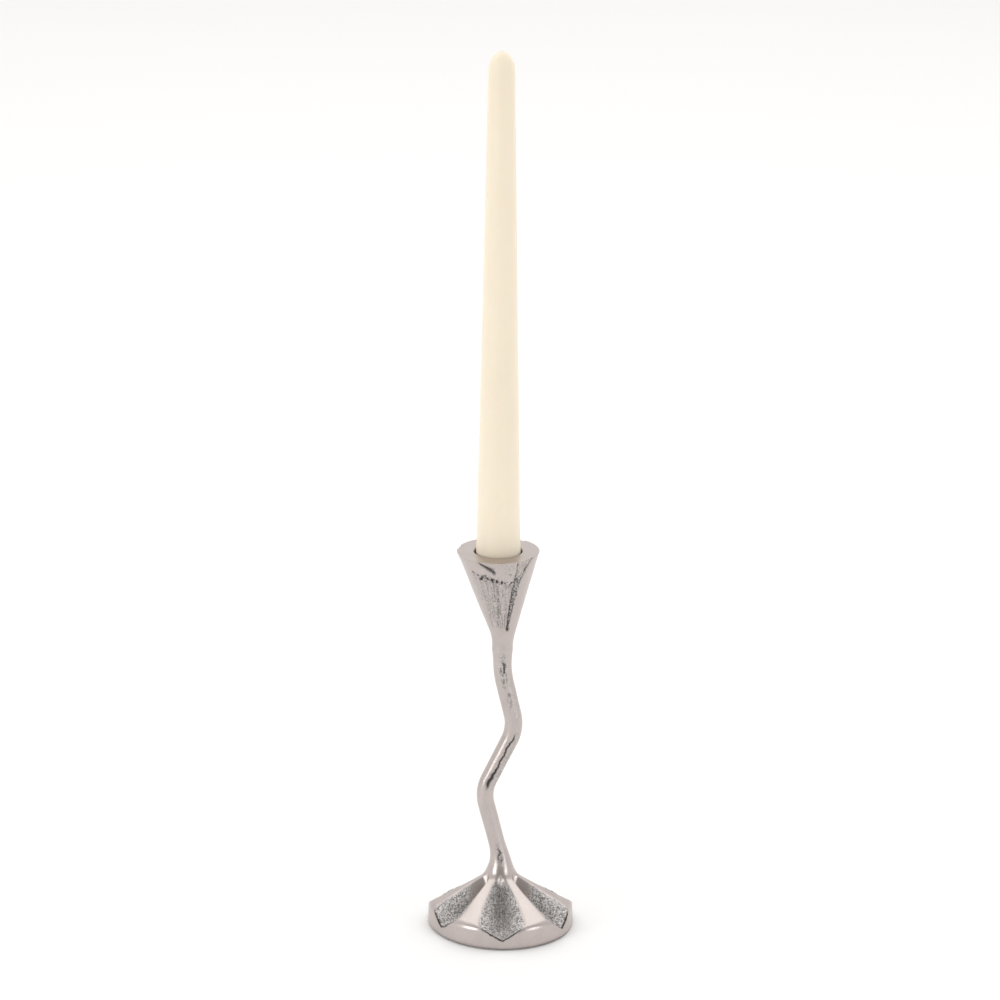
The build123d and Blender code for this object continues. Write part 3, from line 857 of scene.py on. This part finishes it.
class CupSide:
    """The cup's side as arrays over its grid: where each point is, its radius, and its marks so far."""

    def __init__(self, s):
        lower, upper = np.linspace(CUP_SEAM, FINE_FROM, 26)[:-1], np.linspace(FINE_FROM, RIM - 0.12, 128)
        height = np.concatenate([lower, upper])[:, None]
        turn = (np.arange(s.steps) * 360 / s.steps)[None, :]
        self.around = (turn + 180) % 360 - 180 + 0 * height
        self.height = height + 0 * turn
        self.middle, self.plain = cup_line(s, self.height)
        self.up = (self.height - CONE_START) / (RIM - CONE_START)
        self.rad = np.radians(self.around)
        self.spot = np.stack([self.plain * np.sin(self.rad), self.plain * np.cos(self.rad), self.height], -1)
        self.radius = self.plain.copy()
        self.cast = np.zeros_like(self.plain)
        self.shade_and_patina = np.zeros_like(self.plain)
        self.grain = rough_noise(self.spot, 0.95, 61)
        # The ragged line where the grooves end and the collar starts.
        level = self.spot * (1, 1, 0)
        self.border = 189.6 - 0.075 * self.around + 2.6 * (noise(level, 2.3, 73) - 0.5)
        self.border = self.border + 1.2 * (noise(level, 0.8, 79) - 0.5)

    def press_pleat(self, s, turn_at, strength, opening):
        """A channel whose floor leans from pit to rim: its depth is a smooth box across, more along the left
        bank and less on the folds that split it below the rim; crumpled banks wander in and out."""
        up, spot, grain = np.clip(self.up, 0, 1), self.spot, self.grain
        ragged = noise(spot, (1.3, 1.3, 1.1), 67) - 0.5
        at = turn_at - PLEAT_LEAN * (1 - up)
        off = (self.around - at + 180) % 360 - 180
        u = self.plain * np.sin(np.radians(np.clip(off, -90, 90)))
        # The front one opens to the right just below the rim.
        open_up = step(0.72, 1.0, self.up) * opening
        u = u - open_up * 0.75
        half = 0.5 + 2.2 * up + open_up
        u = u + ragged * 0.9 * np.clip(self.up + 0.25, 0, 1) * (1 - 0.8 * step(0.88, 1.0, self.up))
        inside = 1 - step(half - 0.45, half + 0.35, np.abs(u))
        inside = inside * step(0.03, 0.1, self.up)
        floor = 0.5 + 0.5 * up
        tilt = np.clip(0.72 - 0.3 * u / half, 0.3, 1.1)
        fold = np.exp(-(((u - 0.1) / 1.5) ** 2)) + 0.6 * np.exp(-(((u - 3.3) / 0.6) ** 2))
        fold = fold * step(0.74, 0.9, self.up)
        fold = np.clip(fold * (0.7 + 0.6 * noise(spot, (1.8, 1.8, 2.4), 69)), 0, 1)
        cut = (s.pleat / MM) * floor * tilt * inside * strength * (1 - 0.85 * fold)
        cut = cut + inside * 0.5 * (grain - 0.3).clip(0) * strength
        self.radius = self.radius - cut
        self.cast = np.maximum(self.cast, inside * (1 - 0.8 * fold) * strength)
        # Painted shade: both banks are painted dark as creases, more on the left, in broken runs. The floor
        # is painted a little darker, with darker specks where the grain is deep for shade and patina, and
        # less so near the rim.
        left = np.exp(-(((u + half - 0.45) / 0.5) ** 2))
        right = np.exp(-(((u - half + 0.3) / 0.36) ** 2))
        broken = step(0.2, 0.55, noise(spot, (0.9, 0.9, 1.4), 71))
        floor_dark = (0.08 + 0.5 * step(0.4, 0.62, grain)) * (1 - 0.75 * step(0.78, 0.95, self.up))
        self.shade_and_patina = np.maximum(self.shade_and_patina, inside * floor_dark * (1 - 0.8 * fold))
        banks = (0.95 * left + 0.7 * right) * inside * (0.35 + 0.65 * broken)
        self.shade_and_patina = np.maximum(self.shade_and_patina, banks)
        # The pit at the channel's foot is dented in and painted near black: painted shade in the hole.
        pit = np.exp(-((u / 0.9) ** 2 + ((self.height - CONE_START - 2.4) / 1.2) ** 2)) * (np.abs(off) < 90)
        self.radius = self.radius - 0.8 * pit * strength
        self.shade_and_patina = np.maximum(self.shade_and_patina, pit)

    def groove_panels(self, s):
        """Panels between the pleats, grooved by noise drawn out along the height, with pocks along their
        ragged top. The front one is the plainest to see."""
        around, height, up, grain, border = self.around, self.height, self.up, self.grain, self.border
        panel = step(0.02, 0.12, up) * (1 - step(-0.35, 0.35, height - border))
        front = bump(around, -8.0, 52.0) ** 0.7
        back = 0.6 * bump(around % 360, 205.0, 38.0) + 0.5 * bump(around % 360, 95.0, 26.0)
        panel = panel * np.clip(front + back, 0, 1)
        grooves = rough_noise(np.stack([around * 0.55, 0 * up, height * 0.11], -1), 1.0, 83, 2)
        cut = step(0.42, 0.72, grooves)
        depth = 0.16 + (s.grain / MM) * 1.6 * cut + 0.14 * (grain - 0.35).clip(0)
        self.radius = self.radius - panel * depth
        self.cast = np.maximum(self.cast, panel * (0.35 + 0.4 * cut))
        # The grooves are painted darker as painted shade, and the deep grain darker for its shade and patina.
        self.shade_and_patina = np.maximum(self.shade_and_patina, panel * (0.26 * cut + 0.22 * step(0.45, 0.65, grain)))
        # The pocks are dented in and painted near black: painted shade, with dark patina.
        pocks = np.exp(-(((height - border + 0.6) / 1.5) ** 2)) * np.clip(2 * front + back, 0, 1)
        pocks = pocks * step(0.46, 0.62, rough_noise(self.spot, (1.2, 1.2, 1.2), 89)) * step(0.02, 0.1, up)
        self.radius = self.radius - 0.55 * pocks
        self.cast, self.shade_and_patina = np.maximum(self.cast, pocks), np.maximum(self.shade_and_patina, 0.95 * pocks)

    def crumple_rim(self):
        """Crumpled metal where the front pleat meets the rim: bright folds, which are sines across it,
        between broken creases, dented in and painted dark as painted shade, which are bell curves about
        slanting lines."""
        around, spot = self.around, self.spot
        below = RIM - self.height
        crumple = (1 - step(5.5, 10.0, below)) * bump(around, 41.0, 24.0) ** 0.4
        wobble = 5.0 * (noise(spot, (1.6, 1.6, 1.8), 107) - 0.5)
        dark = np.zeros_like(self.plain)
        for start, slope, wide, strong in RIM_CREASES:
            off = (around + wobble - start + slope * below) / wide
            dark = np.maximum(dark, strong * np.exp(-(off**2)))
        dark = dark * crumple * step(0.12, 0.5, noise(spot, (1.0, 1.0, 1.2), 109))
        waves = 0.5 + 0.5 * np.sin(around * 0.62 + 3.1 * noise(spot, 2.2, 127) + 0.9 * below)
        self.radius = self.radius - crumple * 0.3 * waves * step(0.05, 0.8, below) - 0.45 * dark
        self.cast = self.cast * (1 - 0.8 * crumple)
        self.shade_and_patina = np.maximum(self.shade_and_patina * (1 - 0.6 * crumple), dark)

    def fold_wedge(self):
        """A wedge-shaped fold under the rim, left of the front: a bell curve in height about a line that
        falls as it widens. It is dented in and painted dark in broken patches: painted shade in the fold."""
        slide = (self.around + 29.0) / 24.0
        fold_at = 199.4 - 5.0 * np.clip(slide, 0, 1)
        wide = 0.3 + 1.9 * np.clip(slide, 0, 1)
        wedge = np.exp(-(((self.height - fold_at) / wide) ** 2))
        wedge = wedge * step(-0.1, 0.1, slide) * (1 - step(0.9, 1.1, slide))
        self.radius = self.radius - 0.9 * wedge
        chips = step(0.1, 0.5, noise(self.spot, 1.0, 131) + 0.35 * (1 - slide))
        self.shade_and_patina = np.maximum(self.shade_and_patina, 0.85 * wedge * chips)
        self.cast = np.maximum(self.cast, 0.6 * wedge)

    def dress(self):
        """Planished flats everywhere but at the two ends, and above the grooves a collar with faint rings
        and a coarser patch beside the pleat."""
        height = self.height
        free = step(CUP_SEAM, CUP_SEAM + 4, height) * (1 - step(RIM - 6, RIM - 0.5, height))
        self.radius = self.radius - free * 0.3 * noise(self.spot, (9.0, 9.0, 16.0), 97)
        collar = step(-0.3, 1.0, height - self.border) * (1 - step(RIM - 1.6, RIM - 0.6, height))
        patch = collar * bump(self.around, 17.0, 17.0) * step(0.15, 0.85, noise(self.spot, 1.5, 103))
        self.cast = np.maximum(self.cast, 0.75 * patch)
        rings = 0.05 * collar * (0.5 + 0.5 * np.sin(height * 5.2))
        self.radius = self.radius - rings - 0.22 * patch * (self.grain - 0.3).clip(0)

    def points(self):
        """The side's grid: circles of the radius about the leaning middle."""
        x = self.middle + self.radius * np.sin(self.rad)
        return np.stack([x, -self.radius * np.cos(self.rad), self.height], -1)


def cup_side(s):
    """The cup's side with everything pressed, cut and folded into it, in the order it was done."""
    side = CupSide(s)
    for pleat in PLEATS:
        side.press_pleat(s, *pleat)
    side.groove_panels(s)
    side.crumple_rim()
    side.fold_wedge()
    side.dress()
    return side


def cup_grid(s):
    """The cup as rows carried round: its tapped hole, the side, the flat rim and the candle's socket."""
    skin = cup_side(s)
    side = skin.points()
    top = bpy.context.scene.candlestick_stem.top / MM
    hole_end = CUP_SEAM + CUP_HOLE_DEPTH
    hole = polyline((TAPPED_HOLE, hole_end), 8, (TAPPED_HOLE, CUP_SEAM), 4, (top - 0.05, CUP_SEAM))
    hole = turned(hole, s.steps, TOP_X)
    # The rim: from the side's last row in over a small rounding to the socket's mouth.
    socket, floor = s.socket / MM, RIM - s.depth / MM
    turn = np.arange(s.steps) * 2 * np.pi / s.steps
    inner = turned(polyline((socket + 0.4, RIM), 1, (socket, RIM - 0.4)), s.steps, RIM_X)
    edge = side[-1] - 0.1 * np.stack([np.sin(turn), -np.cos(turn), 0 * turn], -1)
    edge[:, 2] = RIM
    t = np.linspace(0, 1, 12)[:, None, None]
    land = edge[None] * (1 - t) + inner[0][None] * t
    angle = np.linspace(0, math.pi / 2, 9)[1:]
    curve = np.stack([socket - 2 + 2 * np.cos(angle), floor + 2 - 2 * np.sin(angle)], -1)
    wall = polyline((socket, RIM - 0.4), 16, (socket, floor + 2))[1:]
    bottom = polyline(tuple(curve[-1]), 5, (2.0, floor))[1:]
    well = np.concatenate([wall, curve, bottom])
    rows = [hole, side, land, inner[1:], turned(well, s.steps, RIM_X)]
    # Inside the candle's socket the casting is half rough and a little darker.
    dull = np.concatenate([np.zeros((len(land) + 1, s.steps)), np.full((len(well), s.steps), 0.5)])
    marks = {
        "cast": np.concatenate([padded(skin.cast, len(hole), 0), dull]),
        "shade_and_patina": np.concatenate([padded(skin.shade_and_patina, len(hole), 0), dull * 0.5]),
    }
    return np.concatenate(rows), marks


# Candle -----------------------------------------------------------------------------------------


def leaning(s, grid):
    """Points made upright over the origin, stood in the socket and leant to the right about its floor."""
    cup = bpy.context.scene.candlestick_cup
    floor = RIM - cup.depth / MM + s.radius / MM * math.sin(s.lean)
    x, y, z = grid[..., 0], grid[..., 1], grid[..., 2]
    sin, cos = math.sin(s.lean), math.cos(s.lean)
    return np.stack([RIM_X + x * cos + z * sin, y, floor - x * sin + z * cos], -1)


def wax_grid(s):
    """The candle: its foot, a straight butt, a long taper and a dome whose radius is the root of 1 less a
    power of the way up; the surface dips by under a tenth of a millimetre of slow noise."""
    radius, top, tall, tip, wick = (v / MM for v in (s.radius, s.top, s.height, s.tip, s.wick))
    butt = bpy.context.scene.candlestick_cup.depth / MM
    foot = polyline(
        (wick, 0), 3, (radius - 0.8, 0), 2, (radius, 0.8), 4, (radius, butt), 110, (top, tall - tip)
    )
    t = np.sin(np.linspace(0, np.pi / 2, 34)[1:]) ** 1.4
    out = np.maximum(top * np.sqrt(1 - t**1.75), 0.3)
    dome = np.stack([out, tall - tip + t * tip], -1)
    # Wax closes over the wick's end but for a small hole.
    inner = polyline(
        (0.3, tall - 0.01), 1, (0.3, tall - 0.2), 2, (wick, tall - 0.25), 4, (wick, tall - 6), 3, (wick, 6),
        2, (wick, 0),
    )
    profile = np.concatenate([foot, dome, inner[:-1]])
    grid = turned(profile, 120)
    r, z = profile[:, :1], profile[:, 1:]
    dips = 0.09 * noise(grid, (9.0, 9.0, 30.0), 101) * step(wick + 0.6, wick + 3, r) * step(20, 26, z)
    scale = 1 - dips / np.maximum(r, 1e-6)
    grid[..., :2] *= scale[..., None]
    return leaning(s, grid)


def wick_grid(s):
    """The wick: a round cord whose radius is dented by two sets of strands wound opposite ways."""
    wick, tall = s.wick / MM, s.height / MM - 0.3
    around, rows = 36, 420
    z = np.linspace(0, tall, rows)[:, None]
    turn = (np.arange(around) * 2 * np.pi / around)[None, :]
    left = np.abs(np.sin(3 * turn + z * 2.2))
    right = np.abs(np.sin(3 * turn - z * 2.2))
    r = wick - 0.02 - 0.16 * (1 - np.maximum(left, right)) * np.ones_like(z)
    grid = np.stack([r * np.sin(turn), -r * np.cos(turn), z + 0 * r], -1)
    return leaning(s, grid)


# Fasteners and felt -----------------------------------------------------------------------------


THREAD_RADIUS, THREAD_PITCH, THREAD_DEPTH = 2.5, 0.8, 0.42
# The screw's key hole as (depth, share of its width), and its head as (height, radius, how knurled).
HEAD_TALL = 5.0
KEY_ROWS = ((2.5, 0.25), (2.5, 0.7), (2.5, 1.0), (1.2, 1.0), (0.3, 1.0), (0.0, 1.05))
HEAD_ROWS = (
    (0.0, 3.7, 0), (0.0, 3.95, 0), (0.3, 4.25, 1), (1.5, 4.25, 1), (3.0, 4.25, 1), (4.7, 4.25, 1),
    (4.95, 4.05, 0),
)
WASHER_HOLE = 2.75
WASHER_ROUNDING = 0.15
SPRING_GAP = 0.8
SPRING_GAP_MIDDLE = 125.0


def thread(low, high, around, middle=0.0):
    """Rows of a screw thread: the radius falls and rises by its depth once in each pitch of height, which
    is counted along a helix, and fades out at both ends."""
    rows = int((high - low) / (THREAD_PITCH / 8))
    z = np.linspace(low, high, rows)[:, None]
    turn = (np.arange(around) * 2 * np.pi / around)[None, :]
    wave = np.abs(((z / THREAD_PITCH - turn / (2 * np.pi)) % 1) * 2 - 1)
    ends = np.clip(np.minimum(z - low, high - z) / 0.5, 0, 1)
    r = THREAD_RADIUS - THREAD_DEPTH * np.clip(wave * 1.25 - 0.1, 0, 1) - 0.45 * (1 - ends)
    return np.stack([middle + r * np.sin(turn), -r * np.cos(turn), z + 0 * r], -1)


def stud_grid():
    """The stud: one run of M5 thread."""
    low, high = node_box("cup_stud")
    return thread(low[2], high[2], 48, TOP_X)


def level_ring(radius, height, turn):
    """One row of points at a height, at a radius for each turn."""
    return np.stack([radius * np.sin(turn), -radius * np.cos(turn), np.full(len(turn), height)], -1)


def screw_grid():
    """The socket-head screw: a hexagonal key hole, whose radius is its half width over the cosine of the
    turn from the nearest flat, a head knurled by a cosine, a fillet and a run of thread."""
    low, high = node_box("foot_screw")
    around = 96
    turn = np.arange(around) * 2 * np.pi / around
    bottom, top = low[2], high[2]
    head = bottom + HEAD_TALL
    flats = 2.0 / np.cos((turn + np.pi / 6) % (np.pi / 3) - np.pi / 6)
    knurl = 0.1 * (0.5 + 0.5 * np.cos(turn * 32))
    key = [level_ring(flats * part, bottom + deep, turn) for deep, part in KEY_ROWS]
    side = [level_ring(radius - knurl * depth, bottom + up, turn) for up, radius, depth in HEAD_ROWS]
    neck = turned(polyline((4.0, head), 3, (2.8, head), 2, (2.45, head + 0.35)), around)
    run = thread(head + 0.5, top, around)
    return np.concatenate([np.array(key), np.array(side), neck, run])


def washer_grid(node, split):
    """A washer as a rounded square section carried round. A split one stops short of a full turn, and each
    end is closed by a pole."""
    low, high = node_box(node)
    outer, inner = (high[0] - low[0]) / 2, WASHER_HOLE
    bottom, top = low[2], high[2]
    c = WASHER_ROUNDING
    section = np.array(
        [
            (inner + c, bottom), (outer - c, bottom), (outer, bottom + c), (outer, top - c),
            (outer - c, top), (inner + c, top), (inner, top - c), (inner, bottom + c),
        ]
    )
    gap = SPRING_GAP / ((inner + outer) / 2) if split else 0.0
    start = math.radians(SPRING_GAP_MIDDLE)
    turn = start + np.linspace(gap / 2, 2 * np.pi - gap / 2, 96, endpoint=split)
    r, z = section[None, :, 0], section[None, :, 1]
    return np.stack([r * np.sin(turn)[:, None], -r * np.cos(turn)[:, None], z + 0 * turn[:, None]], -1)


def felt_grid():
    """The felt disc, its face and edge roughened by a tuft's height of noise."""
    outer, low, high = (FELT_HIGH[0] - FELT_LOW[0]) / 2, FELT_LOW[2], FELT_HIGH[2]
    profile = polyline(
        (1.2, low), 60, (outer - 0.25, low), 1, (outer, low + 0.25), 2, (outer, high - 0.2), 1,
        (outer - 0.2, high), 30, (1.2, high),
    )
    grid = turned(profile, 224)
    tufts = rough_noise(grid, 1.2, 113)
    mid = (low + high) / 2
    below = grid[..., 2] < mid
    grid[..., 2] += below * 0.1 * tufts * step(1.0, 3.0, profile[:, :1])
    pull = 0.22 * tufts * step(outer - 0.6, outer - 0.2, profile[:, :1])
    grid[..., :2] *= (1 - pull / np.maximum(profile[:, :1], 1.0))[..., None]
    return grid


# Operators --------------------------------------------------------------------------------------


def add_casting(name, node, made, looped=False):
    """Adds one of the holder's castings from its grid and marks."""
    grid, marks = made
    add_piece(name, grid, made_once("cast silver", cast_silver), "holder", node, looped, marks)


def add_fastener(name, node, grid, looped=False):
    """Adds one of the holder's steel parts from its grid."""
    add_piece(name, grid, made_once("plated steel", plated_steel), "holder", node, looped)


class CandlestickFoot(bpy.types.Operator):
    """Adds the fluted foot."""

    bl_idname = "candlestick.foot"
    bl_label = "Foot"

    def execute(self, context):
        add_casting("fluted_foot", "foot", foot_grid(context.scene.candlestick_foot), looped=True)
        return {"FINISHED"}


class CandlestickStem(bpy.types.Operator):
    """Adds the wavy stem."""

    bl_idname = "candlestick.stem"
    bl_label = "Stem"

    def execute(self, context):
        add_casting("wavy_stem", "stem", stem_grid(context.scene.candlestick_stem))
        return {"FINISHED"}


class CandlestickCup(bpy.types.Operator):
    """Adds the pleated cup."""

    bl_idname = "candlestick.cup"
    bl_label = "Cup"

    def execute(self, context):
        add_casting("pleated_cup", "cup", cup_grid(context.scene.candlestick_cup))
        return {"FINISHED"}


class CandlestickFasteners(bpy.types.Operator):
    """Adds the stud, the screw and its two washers."""

    bl_idname = "candlestick.fasteners"
    bl_label = "Stud, screw and washers"

    def execute(self, context):
        add_fastener("threaded_stud", "cup_stud", stud_grid())
        add_fastener("socket_screw", "foot_screw", screw_grid())
        add_fastener("spring_washer", "foot_lock_washer", washer_grid("foot_lock_washer", split=True))
        add_fastener("plain_washer", "foot_washer", washer_grid("foot_washer", split=False), looped=True)
        return {"FINISHED"}


class CandlestickFelt(bpy.types.Operator):
    """Adds the felt disc."""

    bl_idname = "candlestick.felt"
    bl_label = "Felt"

    def execute(self, context):
        felt = made_once("pressed felt", pressed_felt)
        add_piece("base_felt", felt_grid(), felt, "holder", "felt_disc")
        return {"FINISHED"}


class CandlestickCandle(bpy.types.Operator):
    """Adds the candle and its wick."""

    bl_idname = "candlestick.candle"
    bl_label = "Candle"

    def execute(self, context):
        s = context.scene.candlestick_candle
        wax = made_once("candle wax", candle_wax)
        yarn = made_once("waxed cotton", cotton)
        add_piece("taper_wax", wax_grid(s), wax, "candle", "candle_wax", looped=True)
        add_piece("braided_wick", wick_grid(s), yarn, "candle", "candle_wick")
        return {"FINISHED"}


def soft_light(name, place, target, wide, tall, power):
    """A soft box at a place, facing a target."""
    light = bpy.data.lights.new(name, "AREA")
    light.shape = "RECTANGLE"
    light.size, light.size_y, light.energy = wide, tall, power
    lamp = bpy.data.objects.new(name, light)
    bpy.context.scene.collection.objects.link(lamp)
    way = np.array(place, float) - np.array(target, float)
    flat = math.hypot(way[0], way[1])
    lamp.location = place
    lamp.rotation_euler = (math.atan2(flat, way[2]), 0.0, math.atan2(way[0], -way[1]))


def pale_floor(s):
    """A plain pale floor, square, that the candlestick stands in the middle of."""
    g = Graph(bpy.data.materials.new("pale floor"))
    patch = g.noise(400.0)
    tone = g.blend(patch, shade(s.floor, 0.99), s.floor)
    material = g.finish({"Base Color": tone, "Roughness": 0.85 + 0.1 * patch})
    mesh = bpy.data.meshes.new("floor")
    reach = 6.0
    plan = ((-reach, -reach), (reach, -reach), (reach, reach), (-reach, reach))
    mesh.from_pydata([(x, y, 0.0) for x, y in plan], [], [(0, 1, 2, 3)])
    mesh.materials.append(material)
    floor = bpy.data.objects.new("floor", mesh)
    bpy.context.scene.collection.objects.link(floor)


def studio_sky(s):
    """Plain surroundings: pale behind and overhead, and darker on the camera's side."""
    g = Graph(bpy.data.worlds.new("studio"), "Generated")
    across = g.add("ShaderNodeSeparateXYZ", inputs={"Vector": g.place}, output="Y")
    glow = g.rise(across, -0.95, 0.1, s.sky * s.dark_side, s.sky)
    sky = g.add("ShaderNodeBackground", inputs={"Color": (1.0, 0.985, 0.965, 1.0), "Strength": glow})
    g.add("ShaderNodeOutputWorld", inputs={"Surface": sky})
    return g.owner


class CandlestickStage(bpy.types.Operator):
    """Adds the floor, the lights and the camera."""

    bl_idname = "candlestick.stage"
    bl_label = "Stage"

    def execute(self, context):
        s = context.scene.candlestick_stage
        scene = context.scene
        pale_floor(s)
        scene.world = studio_sky(s)
        soft_light("top", (0.0, 0.7, 2.2), (0.0, 0.5, 0.0), 2.8, 3.4, s.top_light)
        soft_light("left", (-2.7, -2.2, 0.78), (0.0, 0.0, 0.12), 1.0, 1.2, s.side_light)
        soft_light("right", (2.7, -2.4, 0.86), (0.0, 0.0, 0.2), 1.0, 1.2, s.side_light * 0.7)
        camera = bpy.data.cameras.new("camera")
        camera.lens, camera.sensor_width = s.lens, 36.0
        camera.clip_start, camera.clip_end = 0.01, 50.0
        eye = bpy.data.objects.new("camera", camera)
        eye.location = (-0.0002, -s.distance, s.eye)
        eye.rotation_euler = (math.pi / 2 - s.tilt, 0.0, 0.0)
        scene.collection.objects.link(eye)
        scene.camera = eye
        scene.view_settings.view_transform = "Standard"
        return {"FINISHED"}


class CandlestickPanel(bpy.types.Panel):
    """The sidebar's list of pieces and their sizes."""

    bl_idname = "VIEW3D_PT_candlestick"
    bl_label = "Candlestick"
    bl_space_type = "VIEW_3D"
    bl_region_type = "UI"
    bl_category = "Candlestick"

    def draw(self, context):
        for operator in OPERATORS:
            self.layout.operator(operator.bl_idname)
        for name, group in GROUPS.items():
            box = self.layout.box()
            box.label(text=group.__doc__)
            for key in group.__annotations__:
                box.prop(getattr(context.scene, name), key)


OPERATORS = (
    CandlestickFoot,
    CandlestickStem,
    CandlestickCup,
    CandlestickFasteners,
    CandlestickFelt,
    CandlestickCandle,
    CandlestickStage,
)


def register():
    for group in GROUPS.values():
        bpy.utils.register_class(group)
    for name, group in GROUPS.items():
        setattr(bpy.types.Scene, name, PointerProperty(type=group))
    for item in (*OPERATORS, CandlestickPanel):
        bpy.utils.register_class(item)


def unregister():
    for item in (CandlestickPanel, *reversed(OPERATORS)):
        bpy.utils.unregister_class(item)
    for name, group in reversed(GROUPS.items()):
        delattr(bpy.types.Scene, name)
        bpy.utils.unregister_class(group)


def main():
    register()
    bpy.ops.candlestick.foot()
    bpy.ops.candlestick.stem()
    bpy.ops.candlestick.cup()
    bpy.ops.candlestick.fasteners()
    bpy.ops.candlestick.felt()
    bpy.ops.candlestick.candle()
    bpy.ops.candlestick.stage()


if __name__ == "__main__":
    main()
